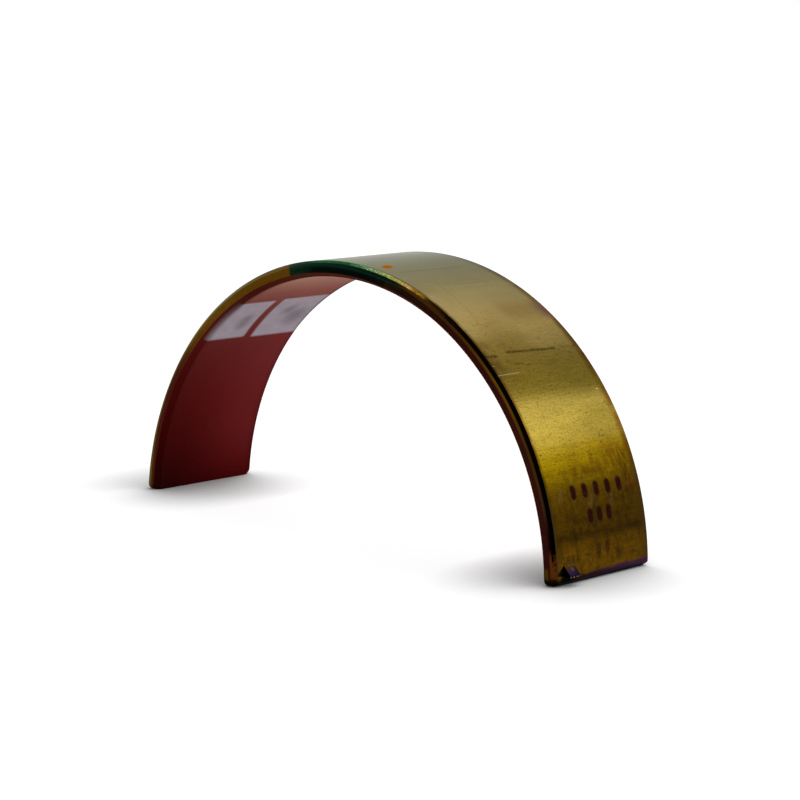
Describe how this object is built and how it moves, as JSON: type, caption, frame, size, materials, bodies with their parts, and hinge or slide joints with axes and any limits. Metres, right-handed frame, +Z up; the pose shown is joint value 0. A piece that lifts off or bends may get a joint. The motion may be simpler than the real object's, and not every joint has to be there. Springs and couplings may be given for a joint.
{
  "type": "engine bearing shell",
  "caption": "Thin-wall half shell of a plain engine bearing, with chamfered ends, flat joint faces and a pressed locating lug at one foot.",
  "frame": {"origin": "midway between the two joint faces, in their plane, at the middle of the width: on the axis of the housing bore", "axes": "+X across the joint faces towards the lug's leg, +Y along the journal away from the lug's end, +Z up to the crown"},
  "size_m": [0.0717, 0.0176, 0.0339],
  "materials": {
    "tinted_steel": "satin steel back with a golden olive tint, brushed along the journal, and a dark red running layer in the bore"
  },
  "bodies": {
    "root": {"bearing_shell": "tinted_steel"}
  },
  "joints": []
}
